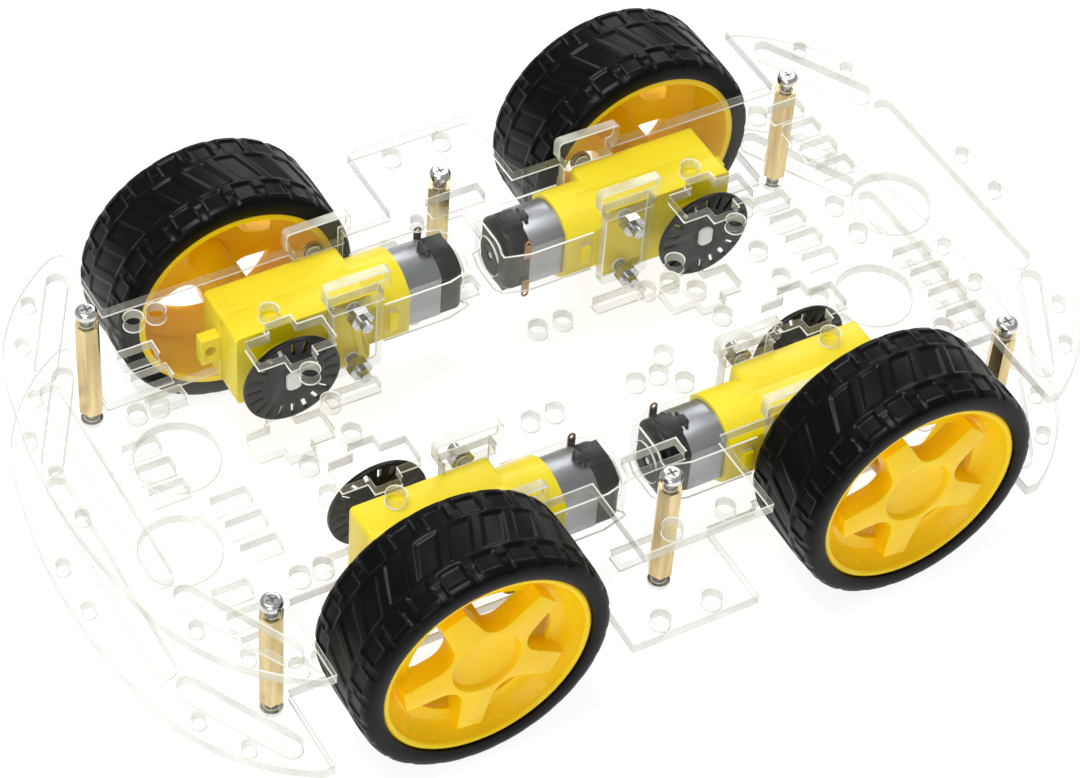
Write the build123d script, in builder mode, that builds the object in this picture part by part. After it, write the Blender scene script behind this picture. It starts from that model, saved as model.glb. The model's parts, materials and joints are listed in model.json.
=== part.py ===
"""Four-wheel robot car chassis: two clear plates, four gear motors and four 65 mm wheels.

Frame: millimetres, origin on the floor under the middle, +X along the length, +Y to the left, +Z up.
Corner pieces are modelled at the front left corner (+X, +Y) and mirrored to the other three.
"""
from build123d import *
from math import cos, pi, radians, sin
import os

# ---- driving dimensions -----------------------------------------------------------------------
wheel_radius = 32.5
axle_x = 59.0                 # half the wheelbase
plate_thickness = 3.0
standoff_length = 30.0
gearbox_height = 22.5
motor_y = 39.6                # motor and gearbox centre plane

motor_gap = 0.32              # the nuts, not the gearboxes, touch the top plate
top_plate_z = wheel_radius + gearbox_height / 2 + motor_gap
bottom_plate_z = top_plate_z - standoff_length - plate_thickness

# plate outline
plate_half_length = 131.0
tip_y = 75.5                  # horn tips and the middle tab
waist_y = 51.2                # recess edge beside the wheels
horn_x = 96.2                 # inner edge of each horn
tab_x = 17.6                  # half width of the middle tab
nose_end = (127.5, 32.6)      # where the flat nose arc meets the corner arc
corner_mid = (119.6, 56.0)
corner_end = (99.5, tip_y)

# holes and slots in the plates
slot_width = 5.0
nose_slot_x, nose_slot_half = 118.4, 33.7
round_hole_x, round_hole_radius = 100.0, 10.15
cross_x, cross_y = 59.7, 22.1
diagonal_slot_middle, diagonal_slot_length, diagonal_slot_angle = (109.2, 52.1), 34.5, 118.7
tab_slot_size, tab_slot_y = (15.0, 4.7), 49.4
vent_size, vent_x, vent_pitch, first_vent_y = (9.2, 4.4), 94.6, 8.0, 18.0
large_hole, small_hole = 2.4, 1.7
standoff_places = [(100.5, 51.0), (100.5, -51.0), (0, 57.8), (0, -57.8), (-100.5, 51.0), (-100.5, -51.0)]
standoff_flats = 5.5

# brackets
bracket_x, bracket_thickness = 38.7, 3.0
inner_bracket_y, outer_bracket_y = 28.7, 50.5
head_width, head_height, stem_width = 18.0, 6.2, 13.8
bracket_corner = 1.3
notch_width, notch_depth = 14.0, 2.2

# fasteners
thread_radius, head_radius, pan_height = 1.5, 2.8, 1.9
motor_screw_length = 30.0
nut_flats, nut_height = 5.5, 2.4
mount_hole_pitch = 17.6       # the two screw holes of a gearbox, one above the other

# gear motor
gearbox_back, gearbox_front = 33.7, 70.3
gearbox_width = 18.8
wall, bulkhead = 1.5, 0.9
sleeve_end = 22.6
can_height, can_width = 20.0, 15.4
can_end, cap_end = 12.8, 5.3
shaft_length, shaft_radius, shaft_flats = 36.8, 2.7, 3.7
shaft_clearance = 0.2

# gear train, 8:24, 8:32 and 8:32
fine_module, coarse_module = 0.4, 0.5
pinion_teeth, crown_teeth, wheel_teeth = 8, 24, 32
idler_x = axle_x - coarse_module * (pinion_teeth + wheel_teeth) / 2
crown_x = idler_x - fine_module * (pinion_teeth + wheel_teeth) / 2
crown_radius = fine_module * crown_teeth / 2
pin_radius, pin_bore = 0.7, 0.8

# wheel
rim_lip_y, rim_inner_y = 78.2, 53.0
rim_radius, rim_bore = 27.1, 25.4
tyre_inner_y, tyre_outer_y = 52.6, 79.0
spoke_count, first_spoke = 5, 260.0
spoke_face = 0.8              # depth of the spoke faces below the lip
spoke_start, spoke_root = 6.0, 9.2
spoke_reach, spoke_tip = 21.0, 6.4
disc_radius, disc_thickness, disc_slots = 13.0, 1.2, 20
disc_slot_radius, disc_slot_size = 10.4, (3.8, 1.1)

os.makedirs("parts", exist_ok=True)
corners = {"front_left": (1, 1), "front_right": (1, -1), "rear_left": (-1, 1), "rear_right": (-1, -1)}
four_ways = [(sx, sy) for sx in (1, -1) for sy in (1, -1)]


def across(y, x=axle_x, z=wheel_radius):
    """A plane facing +Y with its origin on the given point, local X along +X and local Y up."""
    return Plane(origin=(x, y, z), x_dir=(-1, 0, 0), z_dir=(0, 1, 0))


def along(x, y=motor_y, z=wheel_radius):
    """A plane facing -X, for the motor, with local X across the car and local Y up."""
    return Plane(origin=(x, y, z), x_dir=(0, -1, 0), z_dir=(-1, 0, 0))


def save(piece, name):
    piece.part.label = name
    export_step(piece.part, f"parts/{name}.step")


def save_at_corner(piece, corner, name):
    """Write the front left piece, mirrored to the given corner."""
    sx, sy = corners[corner]
    with BuildPart() as copy:
        add(piece)
        if sx < 0:
            mirror(about=Plane.YZ, mode=Mode.REPLACE)
        if sy < 0:
            mirror(about=Plane.XZ, mode=Mode.REPLACE)
    save(copy, f"{corner}_{name}")


def save_at_corners(piece, name):
    """Write the front left piece and its mirror images at the other corners."""
    for corner in corners:
        save_at_corner(piece, corner, name)


def save_four(piece, name):
    """Write one node that holds the front left piece and its three mirror images."""
    with BuildPart() as group:
        add(piece)
        mirror(about=Plane.YZ)
        mirror(about=Plane.XZ)
    save(group, name)


# ---- plates -----------------------------------------------------------------------------------
def plate(name, z):
    """A clear plate: horned outline with wheel recesses, a middle tab, and its holes and slots."""
    with BuildPart() as body:
        with BuildSketch(Plane.XY.offset(z)):
            with BuildLine():
                nose = ThreePointArc((plate_half_length, 0), (130.1, 16.3), nose_end)
                corner = ThreePointArc(nose @ 1, corner_mid, corner_end)
                Polyline(
                    corner @ 1,
                    (horn_x, tip_y),
                    (horn_x, waist_y),
                    (tab_x, waist_y),
                    (tab_x, tip_y),
                    (0, tip_y),
                    (0, 0),
                    (plate_half_length, 0),
                )
            make_face()
            mirror(about=Plane.YZ)
            mirror(about=Plane.XZ)
            cut_plate_openings()
        extrude(amount=plate_thickness)
    save(body, name)


def cut_plate_openings():
    """Cut every hole and slot of a plate from the sketch in progress."""
    for sx in (1, -1):
        with Locations((sx * nose_slot_x, 0)):
            SlotOverall(2 * nose_slot_half, slot_width, rotation=90, mode=Mode.SUBTRACT)
        with Locations((sx * round_hole_x, 0)):
            Circle(round_hole_radius, mode=Mode.SUBTRACT)
    for sx, sy in four_ways:
        middle_x, middle_y = diagonal_slot_middle
        with Locations((sx * middle_x, sy * middle_y)):
            SlotOverall(diagonal_slot_length, slot_width,
                        rotation=sx * sy * diagonal_slot_angle, mode=Mode.SUBTRACT)
        with Locations((sx * cross_x, sy * cross_y)):
            Rectangle(20.5, 7.8, mode=Mode.SUBTRACT)
            Rectangle(7.0, 14.9, mode=Mode.SUBTRACT)
        with Locations((sx * bracket_x, sy * inner_bracket_y)):
            Rectangle(notch_width, bracket_thickness + 0.3, mode=Mode.SUBTRACT)
        with Locations((sx * bracket_x, sy * waist_y)):
            Rectangle(notch_width, 2 * notch_depth + 0.3, mode=Mode.SUBTRACT)
    for sy in (1, -1):
        with Locations((0, sy * tab_slot_y)):
            Rectangle(*tab_slot_size, mode=Mode.SUBTRACT)
    vents = [(sx, first_vent_y + vent_pitch * row) for sx, rows in ((-1, 3), (1, 4)) for row in range(rows)]
    with Locations(*[(sx * vent_x, sy * y) for sx, y in vents for sy in (1, -1)]):
        Rectangle(*vent_size, mode=Mode.SUBTRACT)
    large = [(3.5, 0), (-3.5, 0), (60, 0), (-60, 0), (27.3, 0), (34, 0), (38.6, 5.3), (38.6, -5.3)]
    large += [(sx * 60, sy * y) for sx, sy in four_ways for y in (11, 33.5)]
    large += [(sx * 7.2, sy * 70.6) for sx, sy in four_ways]
    large += [(x, sy * y) for x, y in ((-90.6, 45.4), (-84.7, 45.4), (86.8, 43.6)) for sy in (1, -1)]
    large += [(86.4, 5.5), (86.4, -5.5)]
    with Locations(*large):
        Circle(large_hole, mode=Mode.SUBTRACT)
    small = [(sx * x, sy * y) for x, y in ((127.2, 7.5), (118, 49), (111.2, 61.4)) for sx, sy in four_ways]
    small += standoff_places + [(-12.6, 46.2)]
    with Locations(*small):
        Circle(small_hole, mode=Mode.SUBTRACT)


plate("top_plate", top_plate_z)
plate("bottom_plate", bottom_plate_z)

# ---- standoffs and their screws ---------------------------------------------------------------
standoff_z = bottom_plate_z + plate_thickness
thread_depth = 6.0

with BuildPart() as standoffs:
    with BuildSketch(Plane.XY.offset(standoff_z)):
        with Locations(*standoff_places):
            RegularPolygon(standoff_flats / 2, 6, major_radius=False)
            Circle(thread_radius, mode=Mode.SUBTRACT)
    extrude(amount=standoff_length)
save(standoffs, "standoffs")


def plate_screws(name, seat_z, up):
    """Six pan-head cross screws; up is 1 with the heads on top, -1 with them underneath."""
    seat = Plane(origin=(0, 0, seat_z), x_dir=(1, 0, 0), z_dir=(0, 0, up))
    places = [(x, up * y) for x, y in standoff_places]
    with BuildPart() as screws:
        with BuildSketch(seat):
            with Locations(*places):
                Circle(head_radius)
        extrude(amount=pan_height)
        fillet(screws.edges().group_by(Axis.Z)[-1 if up > 0 else 0], 1.1)
        with BuildSketch(seat):
            with Locations(*places):
                Circle(thread_radius)
        extrude(amount=-(plate_thickness + thread_depth))
        with BuildSketch(seat.offset(pan_height)):
            with Locations(*places):
                Rectangle(2.8, 0.6)
                Rectangle(0.6, 2.8)
        extrude(amount=-1.2, mode=Mode.SUBTRACT)
    save(screws, name)


plate_screws("top_screws", top_plate_z + plate_thickness, 1)
plate_screws("bottom_screws", bottom_plate_z, -1)


# ---- motor brackets and their screws ----------------------------------------------------------
mount_holes = [(0, mount_hole_pitch / 2), (0, -mount_hole_pitch / 2)]
bracket_top = top_plate_z + plate_thickness + head_height
head_base = top_plate_z + plate_thickness


def bracket(name, y):
    """A T-shaped plate: the head rests on the top plate, the stem hangs beside the gearbox."""
    stem_length = head_base - (wheel_radius - gearbox_height / 2)
    with BuildPart() as body:
        with BuildSketch(across(y - bracket_thickness / 2, bracket_x)) as outline:
            with Locations((0, head_base + head_height / 2 - wheel_radius)):
                Rectangle(head_width, head_height)
            with Locations((0, head_base - stem_length / 2 - wheel_radius)):
                Rectangle(stem_width, stem_length)
            outer_corners = outline.vertices().filter_by(lambda v: abs(v.X) > stem_width / 2 + 1 or v.Y < 0)
            fillet(outer_corners, bracket_corner)
            with Locations(*mount_holes):
                Circle(small_hole, mode=Mode.SUBTRACT)
        extrude(amount=bracket_thickness)
    save_four(body, name)


bracket("inner_brackets", inner_bracket_y)
bracket("outer_brackets", outer_bracket_y)

screw_seat_y = outer_bracket_y + bracket_thickness / 2
nut_seat_y = inner_bracket_y - bracket_thickness / 2

with BuildPart() as motor_screws:
    with BuildSketch(across(screw_seat_y, bracket_x)):
        with Locations(*mount_holes):
            Circle(head_radius)
    extrude(amount=pan_height)
    fillet(motor_screws.edges().group_by(Axis.Y)[-1], 1.1)
    with BuildSketch(across(screw_seat_y, bracket_x)):
        with Locations(*mount_holes):
            Circle(thread_radius)
    extrude(amount=-motor_screw_length)
    with BuildSketch(across(screw_seat_y + pan_height, bracket_x)):
        with Locations(*mount_holes):
            Rectangle(2.8, 0.6)
            Rectangle(0.6, 2.8)
    extrude(amount=-1.2, mode=Mode.SUBTRACT)
save_four(motor_screws, "motor_screws")

with BuildPart() as motor_nuts:
    with BuildSketch(across(nut_seat_y, bracket_x)):
        with Locations(*mount_holes):
            RegularPolygon(nut_flats / 2, 6, major_radius=False)
            Circle(thread_radius, mode=Mode.SUBTRACT)
    extrude(amount=-nut_height)
save_four(motor_nuts, "motor_nuts")


# ---- gearbox halves ---------------------------------------------------------------------------
gearbox_middle = (gearbox_front + gearbox_back) / 2
gearbox_length = gearbox_front - gearbox_back
can_front = gearbox_back + 0.5
cavity_back, cavity_front = can_front + bulkhead, gearbox_front - wall
tab_length, tab_height, tab_thickness = 5.0, 8.0, 3.4
hook_x, hook_size = 27.6, (2.4, 5.6)
axle_boss_radius = 1.9


def motor_profile(plane, height, width):
    """A round motor profile with flat sides, on the given plane."""
    with BuildSketch(plane) as profile:
        Circle(height / 2)
        Rectangle(width, height, mode=Mode.INTERSECT)
    return profile.sketch


def gearbox_half(name, side):
    """One shell of the gearbox and motor sleeve; side is 1 for the outer half, -1 for the inner."""
    half = gearbox_width / 2
    inside = half - wall
    with BuildPart() as shell:
        with BuildSketch(across(motor_y, gearbox_middle)):
            RectangleRounded(gearbox_length, gearbox_height, 1.2)
        extrude(amount=side * half)
        sleeve = motor_profile(along(gearbox_back + 1), gearbox_height, gearbox_width)
        extrude(sleeve, amount=gearbox_back + 1 - sleeve_end)
        with BuildSketch(across(motor_y, (cavity_front + cavity_back) / 2)):
            Rectangle(cavity_front - cavity_back, gearbox_height - 2 * wall)
        extrude(amount=side * inside, mode=Mode.SUBTRACT)
        can_space = motor_profile(along(can_front), can_height + 0.1, can_width + 0.1)
        extrude(can_space, amount=can_front - sleeve_end, mode=Mode.SUBTRACT)
        with BuildSketch(along(cavity_back)):
            Rectangle(12.0, 12.0)
        extrude(amount=bulkhead, mode=Mode.SUBTRACT)
        with BuildSketch(across(motor_y, bracket_x)):
            with Locations(*mount_holes):
                Circle(thread_radius + 0.9)
        extrude(amount=side * (half - 0.2))
        with BuildSketch(across(motor_y + side * (inside - 1.0), 0)):
            with Locations(*[(-x, 0) for x in (idler_x, crown_x)]):
                Circle(axle_boss_radius)
        extrude(amount=side * 1.2)
        with BuildSketch(across(motor_y, bracket_x)):
            with Locations(*mount_holes):
                Circle(thread_radius + 0.1)
        extrude(amount=side * half, mode=Mode.SUBTRACT)
        with BuildSketch(across(motor_y + side * (half - wall - 1.5), 0)):
            with Locations(*[(-x, 0) for x in (idler_x, crown_x)]):
                Circle(pin_bore)
        extrude(amount=side * 2.4, mode=Mode.SUBTRACT)
        with BuildSketch(across(motor_y)):
            Circle(shaft_radius + shaft_clearance)
        extrude(amount=side * half, mode=Mode.SUBTRACT)
        with BuildSketch(across(motor_y + side * half, axle_x)):
            Circle(5.4)
            Circle(4.4, mode=Mode.SUBTRACT)
        extrude(amount=side * 0.3)
        with BuildSketch(across(motor_y + side * half, hook_x)):
            Rectangle(*hook_size)
        extrude(amount=side * 1.5)
        keep_side(side)
        if side > 0:
            front_tab()
    save_at_corners(shell, name)


def keep_side(side):
    """Keep only the part of the shell in progress that lies on one side of the split plane."""
    keep = Keep.TOP if side > 0 else Keep.BOTTOM
    split(bisect_by=Plane(origin=(0, motor_y, 0), z_dir=(0, 1, 0)), keep=keep)


def front_tab():
    """The flat lug with a screw hole on the front of the gearbox's outer half."""
    with BuildSketch(across(motor_y, gearbox_front)) as tab:
        with Locations((-tab_length / 2 + 0.25, 0)):
            Rectangle(tab_length + 0.5, tab_height)
        with Locations((-2.6, 0)):
            Circle(1.5, mode=Mode.SUBTRACT)
    extrude(tab.sketch, amount=tab_thickness)


gearbox_half("gearbox_case_outer", 1)
gearbox_half("gearbox_case_inner", -1)


# ---- motor ------------------------------------------------------------------------------------
with BuildPart() as motor_can:
    can_outside = motor_profile(along(can_front), can_height, can_width)
    extrude(can_outside, amount=can_front - can_end)
    fillet(motor_can.edges().group_by(Axis.X)[-1], 0.8)
    can_inside = motor_profile(along(can_front - 1), can_height - 1, can_width - 1)
    extrude(can_inside, amount=can_front - 1 - can_end, mode=Mode.SUBTRACT)
    with BuildSketch(along(can_front + bulkhead)):
        Circle(3.0)
    extrude(amount=bulkhead)
    with BuildSketch(along(can_front + bulkhead)):
        Circle(1.2)
    extrude(amount=3.0, mode=Mode.SUBTRACT)
save_at_corners(motor_can, "motor_can")

cap_face = cap_end + 0.9
housing_back = cap_face + 1.6
boss_radius, bearing_radius = 5.0, 1.2
housing_width, housing_height = 6.4, 0.9      # brush housings, one above and one below
housing_tongue, tongue_width, tongue_arms = 2.6, 2.8, 5.4
with BuildPart() as motor_end_cap:
    cap_body = motor_profile(along(can_end), can_height - 0.5, can_width)
    extrude(cap_body, amount=can_end - cap_face)
    fillet(motor_end_cap.edges().group_by(Axis.X)[0], 2.4)
    with BuildSketch(Plane.XY.offset(wheel_radius - can_height / 2 - housing_height)):
        with Locations(((can_end + housing_back) / 2, motor_y)):
            Rectangle(can_end - housing_back, housing_width)
        with Locations((can_end + housing_tongue / 2, motor_y)):
            Rectangle(housing_tongue, tongue_width)
            Rectangle(housing_tongue / 3, tongue_arms)
    extrude(amount=can_height + 2 * housing_height)
    can_hollow = motor_profile(along(can_end + housing_tongue + 1), can_height + 0.1, can_width + 0.1)
    extrude(can_hollow, amount=housing_tongue + 1, mode=Mode.SUBTRACT)
    with BuildSketch(along(cap_face)):
        Circle(boss_radius)
    extrude(amount=cap_face - cap_end)
    with BuildSketch(along(can_end)):
        Circle(bearing_radius)
    extrude(amount=can_end - cap_end, mode=Mode.SUBTRACT)
save_at_corners(motor_end_cap, "motor_end_cap")

# each motor has its two terminals on one flat side, one high and one low
terminal_x, terminal_gap, terminal_thickness = 11.4, 0.5, 0.4
terminal_width, terminal_hole = 2.1, 0.6
terminal_foot, terminal_eye = 4.6, 8.6
terminal_side = {"front_left": -1, "front_right": 1, "rear_left": 1, "rear_right": 1}
with BuildPart() as motor_terminals:
    for corner, (sx, sy) in corners.items():
        side = terminal_side[corner]
        flat = across(sy * motor_y + side * can_width / 2, sx * terminal_x)
        for up in (1, -1):
            with BuildSketch(flat):
                with Locations((0, up * terminal_foot)):
                    Rectangle(terminal_width, 1.6)
            extrude(amount=side * terminal_gap)
            with BuildSketch(flat.offset(side * terminal_gap)):
                with Locations((0, up * (terminal_foot - 0.8 + terminal_eye) / 2)):
                    Rectangle(terminal_width, terminal_eye - terminal_foot + 0.8)
                with Locations((0, up * terminal_eye)):
                    Circle(terminal_width / 2)
                    Circle(terminal_hole, mode=Mode.SUBTRACT)
            extrude(amount=side * terminal_thickness)
save(motor_terminals, "motor_terminals")

strap_height, strap_thickness = 13.0, 0.6
strap_y = gearbox_width / 2
strap_reach = 30.0
strap_end_width, strap_end_height = 14.2, 17.0
with BuildPart() as motor_strap:
    with BuildSketch(Plane.XY.offset(wheel_radius - strap_height / 2)):
        with BuildLine():
            for side in (1, -1):
                Polyline(
                    (cap_end - 0.1, motor_y),
                    (cap_end - 0.1, motor_y + side * 7.9),
                    (can_end - 1.0, motor_y + side * (strap_y + 0.1)),
                    (strap_reach, motor_y + side * (strap_y + 0.1)),
                    (strap_reach, motor_y + side * (strap_y + 0.1 + strap_thickness)),
                    (can_end - 1.3, motor_y + side * (strap_y + 0.1 + strap_thickness)),
                    (cap_end - 0.1 - strap_thickness, motor_y + side * 8.2),
                    (cap_end - 0.1 - strap_thickness, motor_y),
                )
        make_face()
    extrude(amount=strap_height)
    with BuildSketch(along(cap_end - 0.1)):
        RectangleRounded(strap_end_width, strap_end_height, 4.0)
    extrude(amount=strap_thickness)
    with BuildSketch(along(cap_end)):
        Circle(boss_radius + 0.4)
    extrude(amount=2 * strap_thickness, mode=Mode.SUBTRACT)
    with BuildSketch(across(motor_y - gearbox_width, hook_x)):
        Rectangle(hook_size[0] + 0.4, hook_size[1] + 0.4)
    extrude(amount=2 * gearbox_width, mode=Mode.SUBTRACT)
save_at_corners(motor_strap, "motor_strap")


# ---- gear train -------------------------------------------------------------------------------
def gear_outline(teeth, module, turn=0.0):
    """Tooth points of a spur gear: straight flanks, narrow tips, and generous backlash."""
    pitch_radius = module * teeth / 2
    root, tip = pitch_radius - 1.2 * module, pitch_radius + 0.8 * module
    base_half = 0.27 * pi * module / root
    tip_half = 0.10 * pi * module / tip
    points = []
    for tooth in range(teeth):
        middle = 2 * pi * tooth / teeth + radians(turn)
        for radius, angle in ((root, -base_half), (tip, -tip_half), (tip, tip_half), (root, base_half)):
            points.append((radius * cos(middle + angle), radius * sin(middle + angle)))
    return points


def gear_layer(plane, teeth, module, amount, turn=0.0):
    """Add one spur gear to the part in progress."""
    with BuildSketch(plane) as outline:
        Polygon(*gear_outline(teeth, module, turn), align=None)
    extrude(outline.sketch, amount=amount)


def bore(plane, radius, amount):
    """Cut a round hole through the part in progress."""
    with BuildSketch(plane) as hole:
        Circle(radius)
    extrude(hole.sketch, amount=amount, mode=Mode.SUBTRACT)


crown_face_y = motor_y + fine_module * pinion_teeth / 2 + 0.5
crown_back_y = crown_face_y + 1.2
idler_pinion_y = motor_y - 6.2
coarse_width = 3.0
fine_y, fine_width = crown_back_y + 0.4, 2.0
tooth_turn = 180 / wheel_teeth

with BuildPart() as motor_armature:
    pinion_tip_x = crown_x - crown_radius + 0.7
    gear_layer(along(pinion_tip_x), pinion_teeth, fine_module, 1.5, turn=180 / pinion_teeth)
    with BuildSketch(along(pinion_tip_x)):
        Circle(0.9)
    extrude(amount=pinion_tip_x - cap_end - 0.2)
    with BuildSketch(along(can_front - 3)):
        Circle(6.0)
    extrude(amount=can_front - 3 - can_end - 2)
save_at_corners(motor_armature, "motor_armature")

with BuildPart() as crown_gear:
    with BuildSketch(across(crown_face_y, crown_x)):
        Circle(crown_radius + 0.6)
    extrude(amount=crown_back_y - crown_face_y)
    with BuildSketch(across(crown_face_y, crown_x)):
        with PolarLocations(crown_radius, crown_teeth):
            Rectangle(1.2, 0.36)
    extrude(amount=-0.75)
    gear_layer(across(crown_back_y, crown_x), pinion_teeth, fine_module, fine_width + 0.8)
    bore(across(crown_face_y - 1, crown_x), pin_bore, 8)
save_at_corners(crown_gear, "crown_gear")

with BuildPart() as idler_gear:
    gear_layer(across(fine_y, idler_x), wheel_teeth, fine_module, fine_width, turn=tooth_turn)
    with BuildSketch(across(idler_pinion_y, idler_x)):
        Circle(1.3)
    extrude(amount=fine_y - idler_pinion_y)
    gear_layer(across(idler_pinion_y, idler_x), pinion_teeth, coarse_module, coarse_width)
    bore(across(idler_pinion_y - 1, idler_x), pin_bore, 20)
save_at_corners(idler_gear, "idler_gear")

inner_wall_y = motor_y - gearbox_width / 2 + wall
outer_wall_y = motor_y + gearbox_width / 2 - wall
with BuildPart() as gear_axles:
    with BuildSketch(across(inner_wall_y - 0.9, 0)):
        with Locations(*[(-x, 0) for x in (idler_x, crown_x)]):
            Circle(pin_radius)
    extrude(amount=outer_wall_y - inner_wall_y + 1.8)
save_four(gear_axles, "gear_axles")


# ---- output shaft and encoder disc ------------------------------------------------------------
shaft_inner_y = motor_y - shaft_length / 2
shaft_outer_y = motor_y + shaft_length / 2
gear_y = idler_pinion_y + 0.3


def flatted_circle(plane):
    """The double-flat section of the output shaft."""
    with BuildSketch(plane) as section:
        Circle(shaft_radius)
        Rectangle(shaft_flats, 2 * shaft_radius, mode=Mode.INTERSECT)
    return section.sketch


with BuildPart() as output_shaft:
    with BuildSketch(across(inner_wall_y - wall)):
        Circle(shaft_radius)
    extrude(amount=gearbox_width)
    extrude(flatted_circle(across(shaft_inner_y)), amount=shaft_length)
    gear_layer(across(gear_y), wheel_teeth, coarse_module, coarse_width - 0.6, turn=tooth_turn)
    with BuildSketch(across(shaft_outer_y)):
        Circle(0.9)
    extrude(amount=-5, mode=Mode.SUBTRACT)
save_at_corners(output_shaft, "output_shaft")

disc_y = shaft_inner_y + 1.0
with BuildPart() as encoder_disc:
    with BuildSketch(across(disc_y)):
        Circle(disc_radius)
        with PolarLocations(disc_slot_radius, disc_slots):
            Rectangle(*disc_slot_size, mode=Mode.SUBTRACT)
    extrude(amount=disc_thickness)
    with BuildSketch(across(disc_y)):
        Circle(4.4)
    extrude(amount=4.4)
    extrude(flatted_circle(across(disc_y - 1)), amount=8, mode=Mode.SUBTRACT)
save_at_corners(encoder_disc, "encoder_disc")


# ---- wheel ------------------------------------------------------------------------------------
def depth(radius, below_lip):
    """A point of a wheel section: radius from the axle, depth below the rim's outer lip."""
    return (radius, rim_lip_y - below_lip)


wheel_section = Plane(origin=(axle_x, 0, wheel_radius), x_dir=(1, 0, 0), z_dir=(0, 0, 1))
axle_line = Axis((axle_x, 0, wheel_radius), (0, 1, 0))
rim_depth = rim_lip_y - rim_inner_y
web_back, ledge_depth = 6.6, 5.0
window_radius, window_fillet = 18.6, 5.2
lip_radius = 25.2
hub_radius, dish_radius, dish_depth = 4.9, 9.0, 3.4
star_radius = 7.6


def wheel_rim(first_spoke):
    """The front left rim: barrel, ledge, five dished spokes and hub."""
    with BuildPart() as rim:
        with BuildSketch(wheel_section):
            with BuildLine():
                Polyline(
                    depth(rim_radius, 0.8),
                    depth(rim_radius, rim_depth),
                    depth(rim_bore, rim_depth),
                    depth(rim_bore, 9.0),
                    depth(window_radius, web_back),
                    depth(window_radius, ledge_depth),
                    depth(22.0, ledge_depth),
                    depth(22.9, 4.2),
                    depth(lip_radius, 0.9),
                )
                ThreePointArc(depth(lip_radius, 0.9), depth(26.2, 0.0), depth(rim_radius, 0.8))
            make_face()
        revolve(axis=axle_line)
        with BuildSketch(across(rim_lip_y - web_back)) as star:
            Circle(star_radius)
            with PolarLocations(0, spoke_count, start_angle=first_spoke):
                Polygon(
                    (spoke_start, spoke_root / 2),
                    (spoke_reach, spoke_tip / 2),
                    (spoke_reach, -spoke_tip / 2),
                    (spoke_start, -spoke_root / 2),
                    align=None,
                )
            window_corners = star.vertices().filter_by(lambda v: 7.2 < (v.X ** 2 + v.Y ** 2) ** 0.5 < 9.0)
            fillet(window_corners, window_fillet)
        extrude(amount=web_back - spoke_face)
        with BuildSketch(wheel_section):
            with BuildLine():
                Polyline(
                    depth(0, spoke_face),
                    depth(dish_radius, spoke_face),
                    depth(dish_radius - 0.6, 2.4),
                    depth(hub_radius + 0.2, dish_depth),
                    depth(0, dish_depth),
                    close=True,
                )
            make_face()
        revolve(axis=axle_line, mode=Mode.SUBTRACT)
        with BuildSketch(across(rim_lip_y - web_back)):
            Circle(hub_radius)
        extrude(amount=-(rim_depth - web_back))
        extrude(flatted_circle(across(rim_inner_y - 1)), amount=shaft_outer_y - rim_inner_y + 1.5,
                mode=Mode.SUBTRACT)
    return rim


for corner, (sx, sy) in corners.items():
    # mirrored once, a rim needs the mirrored angle to look the same from outside
    save_at_corner(wheel_rim(first_spoke if sx == sy else 180 - first_spoke), corner, "wheel_rim")

tyre_side = 29.6
with BuildPart() as tyre:
    with BuildSketch(wheel_section):
        with BuildLine():
            Polyline(
                (rim_radius, tyre_inner_y + 0.6),
                (rim_radius, rim_lip_y - 0.8),
                (27.6, rim_lip_y + 0.2),
            )
            ThreePointArc((27.6, rim_lip_y + 0.2), (tyre_side, tyre_outer_y), (31.4, rim_lip_y - 0.4))
            ThreePointArc((31.4, rim_lip_y - 0.4), (32.0, 76.9), (32.2, 75.8))
            ThreePointArc((32.2, 75.8), (wheel_radius, 65.8), (32.2, 55.8))
            ThreePointArc((32.2, 55.8), (32.0, 54.6), (31.4, 53.6))
            ThreePointArc((31.4, 53.6), (tyre_side, tyre_inner_y), (rim_radius, tyre_inner_y + 0.6))
        make_face()
    revolve(axis=axle_line)
save_at_corners(tyre, "tyre")
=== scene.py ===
"""Looks for the four-wheel robot car chassis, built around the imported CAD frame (metres)."""
import json
import math

import bmesh
import bpy
from mathutils import Matrix, Vector


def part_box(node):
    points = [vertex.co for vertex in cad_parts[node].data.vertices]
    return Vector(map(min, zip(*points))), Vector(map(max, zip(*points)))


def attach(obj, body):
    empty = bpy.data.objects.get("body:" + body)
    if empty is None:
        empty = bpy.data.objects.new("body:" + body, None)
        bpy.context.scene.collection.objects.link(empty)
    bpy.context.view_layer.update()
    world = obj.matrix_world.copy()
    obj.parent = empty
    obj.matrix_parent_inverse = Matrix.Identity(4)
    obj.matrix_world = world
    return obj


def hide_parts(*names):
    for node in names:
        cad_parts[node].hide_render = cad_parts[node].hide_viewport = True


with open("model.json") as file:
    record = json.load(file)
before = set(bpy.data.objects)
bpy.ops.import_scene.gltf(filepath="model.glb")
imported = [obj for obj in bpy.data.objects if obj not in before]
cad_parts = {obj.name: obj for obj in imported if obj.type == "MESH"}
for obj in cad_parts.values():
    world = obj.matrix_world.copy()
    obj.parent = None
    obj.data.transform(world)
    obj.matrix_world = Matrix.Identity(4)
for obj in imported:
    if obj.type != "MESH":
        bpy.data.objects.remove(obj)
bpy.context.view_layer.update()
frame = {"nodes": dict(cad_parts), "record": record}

MM = 0.001
WELD_DISTANCE = 0.004 * MM      # points of a tessellated node closer than this are one
FLAT_ANGLE = 1.0                # degrees; edges flatter than this are dissolved
SMOOTH_ANGLE = 32.0             # degrees; edges sharper than this stay sharp
CORNERS = {"front_left": (1, 1), "front_right": (1, -1), "rear_left": (-1, 1), "rear_right": (-1, -1)}
NODES = frame["nodes"]


def node_body(name):
    """The body that a CAD node belongs to."""
    for body, members in frame["record"]["behaviour"]["bodies"].items():
        if name in members:
            return body


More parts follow.
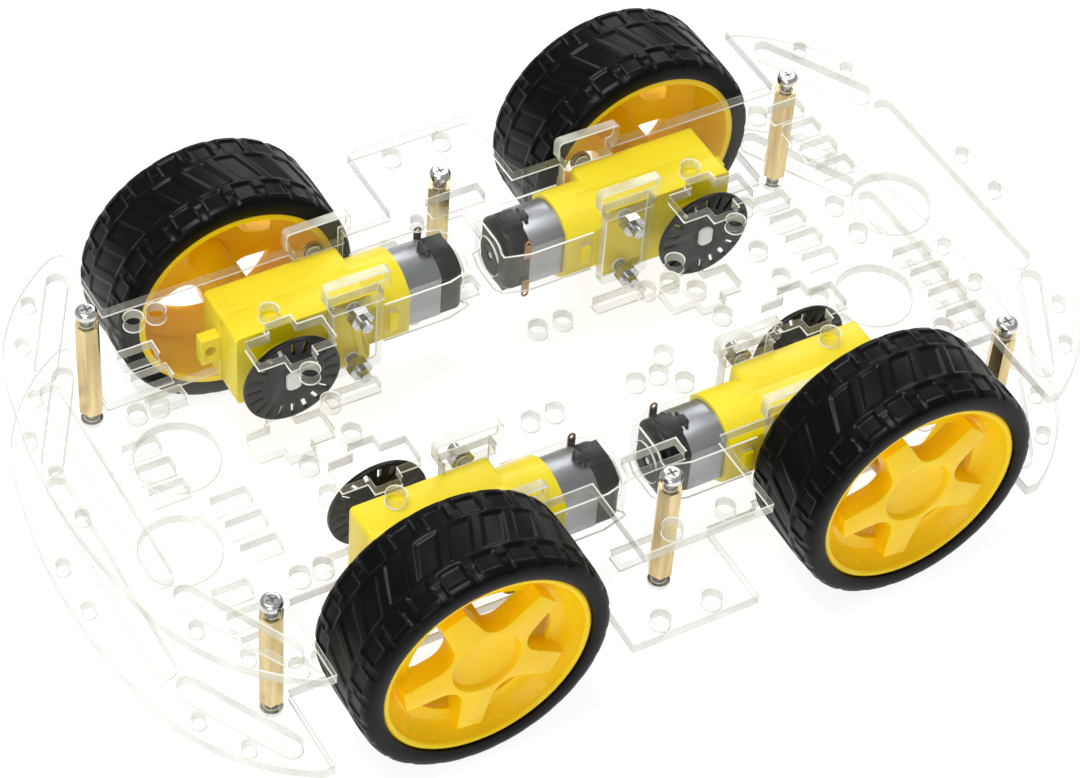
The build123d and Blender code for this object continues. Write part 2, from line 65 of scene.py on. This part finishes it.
def link(name, mesh, material, body, replaced=()):
    """Put a finished mesh into the scene as a piece of the object."""
    piece = bpy.data.objects.new(name, mesh)
    bpy.context.scene.collection.objects.link(piece)
    mesh.materials.clear()
    mesh.materials.append(material)
    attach(piece, body)
    if replaced:
        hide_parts(*replaced)
    return piece


def apply_modifiers(piece):
    """Bake a piece's modifiers into its mesh."""
    bpy.context.view_layer.update()
    graph = bpy.context.evaluated_depsgraph_get()
    mesh = bpy.data.meshes.new_from_object(piece.evaluated_get(graph))
    piece.modifiers.clear()
    piece.data = mesh


def softened(name, material, width, segments=2, clamp=True):
    """Stand in for a CAD node with the same shape, its sharp edges rounded by a small radius in mm.

    Thin sheets with many holes are not clamped, because a clamp shrinks the chamfer to almost nothing.
    """
    mesh = NODES[name].data.copy()
    solid = bmesh.new()
    solid.from_mesh(mesh)
    bmesh.ops.remove_doubles(solid, verts=solid.verts, dist=WELD_DISTANCE)
    bmesh.ops.dissolve_limit(solid, angle_limit=math.radians(FLAT_ANGLE), verts=solid.verts,
                             edges=solid.edges)
    solid.to_mesh(mesh)
    solid.free()
    piece = link(name + "_moulded", mesh, material, node_body(name), (name,))
    bevel = piece.modifiers.new("edge", "BEVEL")
    bevel.width = width * MM
    bevel.segments = segments
    bevel.limit_method = "ANGLE"
    bevel.angle_limit = math.radians(SMOOTH_ANGLE)
    bevel.harden_normals = False
    bevel.use_clamp_overlap = clamp
    apply_modifiers(piece)
    shade(piece.data)
    return piece


def shade(mesh, angle=SMOOTH_ANGLE):
    """Smooth shading that keeps edges sharper than the angle."""
    mesh.shade_smooth()
    mesh.set_sharp_from_angle(angle=math.radians(angle))


# ---- materials --------------------------------------------------------------------------------
class Nodes:
    """A few shorthands for building one node tree."""

    def __init__(self, name):
        self.material = bpy.data.materials.new(name)
        self.material.use_nodes = True
        self.tree = self.material.node_tree
        self.shader = self.tree.nodes["Principled BSDF"]

    def add(self, kind, **values):
        node = self.tree.nodes.new(kind)
        for key, value in values.items():
            if key in node.inputs.keys():
                node.inputs[key].default_value = value
            else:
                setattr(node, key, value)
        return node

    def join(self, source, output, target, socket):
        self.tree.links.new(source.outputs[output], target.inputs[socket])

    def set(self, **values):
        for key, value in values.items():
            self.shader.inputs[key.replace("_", " ")].default_value = value

    def noise(self, scale, detail=3.0, roughness=0.55, stretch=(1, 1, 1)):
        place = self.add("ShaderNodeTexCoord")
        mapping = self.add("ShaderNodeMapping")
        mapping.inputs["Scale"].default_value = stretch
        self.join(place, "Object", mapping, "Vector")
        noise = self.add("ShaderNodeTexNoise", Scale=scale, Detail=detail, Roughness=roughness)
        self.join(mapping, "Vector", noise, "Vector")
        return noise

    def ramp(self, source, output, low, high, low_at=0.3, high_at=0.7):
        ramp = self.add("ShaderNodeValToRGB")
        ramp.color_ramp.elements[0].position = low_at
        ramp.color_ramp.elements[0].color = low
        ramp.color_ramp.elements[1].position = high_at
        ramp.color_ramp.elements[1].color = high
        self.join(source, output, ramp, "Fac")
        return ramp

    def spread(self, source, output, low, high):
        """Map a 0 to 1 value onto a range."""
        spread = self.add("ShaderNodeMapRange")
        spread.inputs["To Min"].default_value = low
        spread.inputs["To Max"].default_value = high
        self.join(source, output, spread, "Value")
        return spread

    def bump(self, source, output, strength, distance):
        bump = self.add("ShaderNodeBump", Strength=strength, Distance=distance)
        self.join(source, output, bump, "Height")
        self.join(bump, "Normal", self.shader, "Normal")


def moulded_plastic(name, colour, deep, roughness, specular, grain=0.06):
    """Moulded plastic: slight flow-mark colour change, uneven gloss and a very fine skin."""
    n = Nodes(name)
    flow = n.noise(55.0, 4.0)
    colours = n.ramp(flow, "Fac", (*deep, 1), (*colour, 1))
    n.join(colours, "Color", n.shader, "Base Color")
    gloss = n.spread(n.noise(210.0, 3.0), "Fac", roughness - 0.06, roughness + 0.08)
    n.join(gloss, "Result", n.shader, "Roughness")
    n.bump(n.noise(2600.0, 2.0), "Fac", grain, 0.00004)
    n.set(Specular_IOR_Level=specular)
    return n.material


def rim_plastic():
    """Warm yellow plastic that lets a little light through."""
    material = moulded_plastic("rim_yellow", (1.0, 0.66, 0.003), (0.98, 0.59, 0.002), 0.32, 0.24)
    shader = material.node_tree.nodes["Principled BSDF"]
    shader.inputs["Subsurface Weight"].default_value = 0.45
    shader.inputs["Subsurface Radius"].default_value = (1.0, 0.45, 0.05)
    shader.inputs["Subsurface Scale"].default_value = 0.004
    return material


def tyre_rubber():
    """Satin black rubber with a fine mould skin and dusty, duller patches."""
    n = Nodes("tyre_rubber")
    colours = n.ramp(n.noise(70.0, 5.0), "Fac", (0.0010, 0.0010, 0.0012, 1), (0.0026, 0.0026, 0.0028, 1))
    n.join(colours, "Color", n.shader, "Base Color")
    gloss = n.spread(n.noise(160.0, 4.0), "Fac", 0.26, 0.40)
    n.join(gloss, "Result", n.shader, "Roughness")
    n.bump(n.noise(1500.0, 3.0), "Fac", 0.10, 0.00006)
    n.set(Specular_IOR_Level=0.11)
    return n.material


# how much of the object normal lies across a clear sheet, on its faces and on its cut walls
FACE_FROM, WALL_UP_TO = 0.9, 0.35


def clear_sheet(name, across_axis, face_alpha, wall_alpha, painted_line_alpha, inner_share=0.32):
    """Clear plastic whose thin direction is the given object axis.

    Faces across that axis are almost invisible. Cut walls get a grey-beige tone, partly their own milky
    cut and partly painted shade for the light the walls bend and reflect, and are fainter where they are
    seen through the sheet from inside. The small chamfers between the two are pale, nearly opaque
    painted highlight lines.
    """
    n = Nodes(name)
    place = n.add("ShaderNodeTexCoord")
    axes = n.add("ShaderNodeSeparateXYZ")
    n.join(place, "Normal", axes, "Vector")
    across = n.add("ShaderNodeMath", operation="ABSOLUTE")
    n.join(axes, across_axis, across, 0)
    not_face = n.add("ShaderNodeMath", operation="LESS_THAN")
    not_face.inputs[1].default_value = FACE_FROM
    n.join(across, "Value", not_face, 0)
    wall = n.add("ShaderNodeMath", operation="LESS_THAN")
    wall.inputs[1].default_value = WALL_UP_TO
    n.join(across, "Value", wall, 0)

    # cut walls: grey-beige patches, partly the cut's milky look and partly painted shade for the light the
    # walls bend and reflect
    milky_and_painted_shade = n.ramp(n.noise(90.0, 3.0), "Fac", (0.44, 0.44, 0.35, 1), (0.82, 0.82, 0.72, 1))
    tone = n.add("ShaderNodeMix", data_type="RGBA")
    n.join(wall, "Value", tone, "Factor")
    # faint warm tint of the faces, also the colour of the painted highlight line on the chamfers
    tone.inputs[6].default_value = (0.80, 0.80, 0.72, 1)
    n.tree.links.new(milky_and_painted_shade.outputs["Color"], tone.inputs[7])
    n.tree.links.new(tone.outputs[2], n.shader.inputs["Base Color"])

    # faces stay nearly clear; the chamfers get a nearly opaque painted highlight line
    face_and_painted_line_alpha = n.spread(not_face, "Value", face_alpha, painted_line_alpha)
    side = n.add("ShaderNodeNewGeometry")
    wall_seen = n.spread(side, "Backfacing", wall_alpha, wall_alpha * inner_share)
    alpha = n.add("ShaderNodeMix", data_type="FLOAT")
    n.join(wall, "Value", alpha, "Factor")
    n.tree.links.new(face_and_painted_line_alpha.outputs["Result"], alpha.inputs[2])
    n.tree.links.new(wall_seen.outputs["Result"], alpha.inputs[3])
    n.tree.links.new(alpha.outputs[0], n.shader.inputs["Alpha"])
    gloss = n.spread(not_face, "Value", 0.03, 0.22)
    n.join(gloss, "Result", n.shader, "Roughness")
    n.set(Specular_IOR_Level=0.5, IOR=1.49)
    return n.material


def metal(name, colour, dark, roughness, scale=400.0, stretch=(1, 1, 1), bump=0.05):
    """Metal with streaks along one direction and small changes in gloss."""
    n = Nodes(name)
    streak = n.noise(scale, 4.0, stretch=stretch)
    colours = n.ramp(streak, "Fac", (*dark, 1), (*colour, 1))
    n.join(colours, "Color", n.shader, "Base Color")
    gloss = n.spread(n.noise(scale * 0.6, 3.0, stretch=stretch), "Fac", roughness - 0.06, roughness + 0.08)
    n.join(gloss, "Result", n.shader, "Roughness")
    n.bump(streak, "Fac", bump, 0.00003)
    n.set(Metallic=1.0)
    return n.material


def floor_paper():
    """Seamless white paper."""
    n = Nodes("white_paper")
    colours = n.ramp(n.noise(6.0, 2.0), "Fac", (0.27, 0.27, 0.27, 1), (0.30, 0.30, 0.30, 1))
    n.join(colours, "Color", n.shader, "Base Color")
    n.set(Roughness=0.95, Specular_IOR_Level=0.0, Emission_Strength=0.86, Emission_Color=(1, 1, 1, 1))
    return n.material


# ---- tyres ------------------------------------------------------------------------------------
TYRE_REPEATS, TYRE_COLUMNS = 24, 20
TYRE_RADIUS = 32.45
TREAD_HALF = 11.6
SHOULDER = 12.35                # half width where the tread meets the side wall
BLOCK_DEPTH, MIDDLE_DEPTH, GROOVE_DEPTH = 0.52, 0.38, 0.32
CROWN_FALL, SHOULDER_FALL, SHOULDER_START = 0.15, 0.55, 9.5


def step(value, edge, soft):
    """0 below the edge, 1 above it, with a smooth change of the given width."""
    t = min(max((value - edge) / soft + 0.5, 0.0), 1.0)
    return t * t * (3 - 2 * t)


def pocket(u, v, half_u, low_v, high_v, soft=0.7):
    """A rectangular recess: 1 inside, 0 outside."""
    inside_u = 1 - step(abs(u), half_u, soft)
    return inside_u * step(v, low_v, soft) * (1 - step(v, high_v, soft))


def tread_depth(column, v):
    """How deep the tread is cut at a column of the pattern and an offset v from the middle."""
    pitch = 2 * math.pi * TYRE_RADIUS / TYRE_REPEATS
    u = (column / TYRE_COLUMNS) % 1.0 * pitch

    def near(offset):
        return (u - offset * pitch + pitch / 2) % pitch - pitch / 2

    outer = pocket(near(0.0), v, 2.7, 5.9, 10.7)
    inner = pocket(near(0.5), -v, 2.7, 5.9, 10.7)
    middle = pocket(near(0.25 + 0.050 * v), v, 2.75, -4.6, 4.6)
    groove = pocket(near(0.5), v, 1.1, 8.0, 14.0) + pocket(near(0.0), -v, 1.1, 8.0, 14.0)
    return BLOCK_DEPTH * max(outer, inner) + MIDDLE_DEPTH * middle + GROOVE_DEPTH * groove


def tyre_rows():
    """The tyre's section as (offset from the middle, radius, whether the tread is cut there)."""
    rows = [(-12.85, 27.1, 0), (-13.05, 27.6, 0), (-13.18, 28.6, 0), (-13.18, 29.8, 0), (-12.98, 30.8, 0),
            (-12.7, 31.35, 0.4)]
    count = 58
    for k in range(count + 1):
        v = -SHOULDER + 2 * SHOULDER * k / count
        fall = max(abs(v) - SHOULDER_START, 0) / (SHOULDER - SHOULDER_START)
        radius = TYRE_RADIUS - CROWN_FALL * (v / TREAD_HALF) ** 2 - SHOULDER_FALL * fall ** 2
        rows.append((v, radius, 1))
    rows += [(-v, r, cut) for v, r, cut in reversed(rows[:6])]
    return rows


def tyre_mesh():
    """One treaded tyre about the Y axis, centred on its own middle."""
    columns = TYRE_REPEATS * TYRE_COLUMNS
    rows = tyre_rows()
    verts, faces = [], []
    for column in range(columns):
        angle = 2 * math.pi * column / columns
        for v, radius, cut in rows:
            r = (radius - cut * tread_depth(column, v)) * MM
            verts.append((r * math.cos(angle), v * MM, r * math.sin(angle)))
    n = len(rows)
    for column in range(columns):
        here, there = column * n, (column + 1) % columns * n
        for k in range(n):
            m = (k + 1) % n
            faces.append((here + k, here + m, there + m, there + k))
    mesh = bpy.data.meshes.new("tyre")
    mesh.from_pydata(verts, [], faces)
    solid = bmesh.new()
    solid.from_mesh(mesh)
    bmesh.ops.recalc_face_normals(solid, faces=solid.faces)
    solid.to_mesh(mesh)
    solid.free()
    shade(mesh, 40.0)
    return mesh


def make_tyres(rubber):
    master = tyre_mesh()
    for corner, (_, sy) in CORNERS.items():
        low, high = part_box(f"{corner}_tyre")
        mesh = master.copy()
        mesh.transform(Matrix.Translation((low + high) / 2) @ Matrix.Scale(sy, 4, (0, 1, 0)))
        if sy < 0:
            mesh.flip_normals()
        link(f"{corner}_treaded_tyre", mesh, rubber, f"{corner}_wheel", (f"{corner}_tyre",))


# ---- dressing the CAD nodes -------------------------------------------------------------------
def dress(names, material):
    """Give CAD nodes that are shown as they are a material."""
    for name in names:
        mesh = NODES[name].data
        mesh.materials.clear()
        mesh.materials.append(material)


def dress_everything():
    # the pale chamfer lines on these clear parts are a painted highlight
    plates = clear_sheet("plate_acrylic", "Z", face_alpha=0.016, wall_alpha=0.58, painted_line_alpha=0.9,
                         inner_share=0.42)
    brackets = clear_sheet("bracket_acrylic", "Y", face_alpha=0.05, wall_alpha=0.6, painted_line_alpha=0.9)
    strap = clear_sheet("strap_plastic", "Z", face_alpha=0.92, wall_alpha=0.10, painted_line_alpha=0.92,
                        inner_share=0.6)
    gearbox = moulded_plastic("gearbox_yellow", (0.84, 0.69, 0.003), (0.77, 0.61, 0.002), 0.32, 0.24)
    black = moulded_plastic("black_plastic", (0.004, 0.004, 0.0045), (0.002, 0.002, 0.0025), 0.34, 0.22)
    disc = moulded_plastic("disc_black", (0.007, 0.007, 0.0075), (0.004, 0.004, 0.0045), 0.38, 0.20)
    nylon = moulded_plastic("white_nylon", (0.78, 0.78, 0.76), (0.70, 0.70, 0.68), 0.42, 0.40)
    rim = rim_plastic()
    rubber = tyre_rubber()
    can = metal("can_steel", (0.38, 0.39, 0.41), (0.27, 0.28, 0.30), 0.36, 300.0, (0.15, 1, 1))
    brass = metal("brass", (0.78, 0.63, 0.34), (0.50, 0.37, 0.16), 0.24, 500.0, (1, 1, 0.08))
    chrome = metal("screw_steel", (0.80, 0.80, 0.79), (0.62, 0.62, 0.61), 0.16, 900.0)
    bolts = metal("nut_steel", (0.58, 0.58, 0.57), (0.34, 0.34, 0.33), 0.20, 900.0)
    steel = metal("axle_steel", (0.55, 0.55, 0.56), (0.45, 0.45, 0.46), 0.28, 700.0)
    copper = metal("terminal_copper", (0.44, 0.26, 0.14), (0.24, 0.12, 0.05), 0.30, 900.0)

    for name in ("top_plate", "bottom_plate"):
        softened(name, plates, 0.26, segments=1, clamp=False)
    for name in ("inner_brackets", "outer_brackets"):
        softened(name, brackets, 0.28, segments=1, clamp=False)
    dress(["standoffs"], brass)
    dress(["top_screws", "bottom_screws"], chrome)
    dress(["motor_screws", "motor_nuts"], bolts)
    dress(["motor_terminals"], copper)
    dress(["gear_axles"], steel)
    for corner in CORNERS:
        for half in ("outer", "inner"):
            softened(f"{corner}_gearbox_case_{half}", gearbox, 0.35)
        softened(f"{corner}_wheel_rim", rim, 0.35)
        softened(f"{corner}_motor_can", can, 0.3)
        softened(f"{corner}_motor_end_cap", black, 0.3)
        softened(f"{corner}_encoder_disc", disc, 0.12)
        softened(f"{corner}_output_shaft", nylon, 0.12)
        softened(f"{corner}_motor_strap", strap, 0.1, segments=1)
        dress([f"{corner}_crown_gear", f"{corner}_idler_gear"], nylon)
        dress([f"{corner}_motor_armature"], steel)
    make_tyres(rubber)


# ---- stage, light and camera ------------------------------------------------------------------
def make_stage():
    mesh = bpy.data.meshes.new("floor")
    reach = 4.0                 # metres each way, past every view of the camera
    mesh.from_pydata([(-reach, -reach, 0), (reach, -reach, 0), (reach, reach, 0), (-reach, reach, 0)],
                     [], [(0, 1, 2, 3)])
    floor = bpy.data.objects.new("floor", mesh)
    bpy.context.scene.collection.objects.link(floor)
    mesh.materials.append(floor_paper())


def area_light(name, place, target, size, power):
    data = bpy.data.lights.new(name, "AREA")
    data.shape = "DISK"
    data.size = size
    data.energy = power
    lamp = bpy.data.objects.new(name, data)
    bpy.context.scene.collection.objects.link(lamp)
    lamp.location = place
    lamp.rotation_euler = (Vector(target) - Vector(place)).to_track_quat("-Z", "Y").to_euler()


def make_lights():
    world = bpy.data.worlds.new("studio")
    bpy.context.scene.world = world
    world.use_nodes = True
    background = world.node_tree.nodes["Background"]
    background.inputs["Color"].default_value = (1.0, 1.0, 1.0, 1)
    background.inputs["Strength"].default_value = 0.38
    area_light("key", (-0.30, 0.15, 1.3), (0, 0, 0.03), 0.6, 13)
    area_light("fill", (-0.9, -1.0, 0.8), (0, 0, 0.03), 0.9, 6)
    area_light("back", (0.7, 1.1, 0.9), (0, 0, 0.03), 0.8, 6)
    scene = bpy.context.scene
    scene.view_settings.view_transform = "Standard"
    scene.cycles.transparent_max_bounces = 32


def make_camera():
    """The viewing direction as azimuth, elevation and roll about a point just above the floor."""
    azimuth, elevation, roll = math.radians(-32.61), math.radians(46.09), math.radians(4.75)
    target, distance = Vector((-4.8, -5.2, 30.0)) * MM, 814.1 * MM
    back = Vector((math.sin(azimuth) * math.cos(elevation), -math.cos(azimuth) * math.cos(elevation),
                   math.sin(elevation)))
    right = Vector((math.cos(azimuth), math.sin(azimuth), 0))
    up = back.cross(right)
    rolled_right = right * math.cos(roll) + up * math.sin(roll)
    rolled_up = up * math.cos(roll) - right * math.sin(roll)
    data = bpy.data.cameras.new("camera")
    data.sensor_width = 36.0
    data.lens = 110.08
    data.clip_start, data.clip_end = 0.01, 20.0
    camera = bpy.data.objects.new("camera", data)
    bpy.context.scene.collection.objects.link(camera)
    facing = Matrix((rolled_right, rolled_up, back)).transposed().to_4x4()
    camera.matrix_world = Matrix.Translation(target + back * distance) @ facing
    bpy.context.scene.camera = camera


dress_everything()
make_stage()
make_lights()
make_camera()
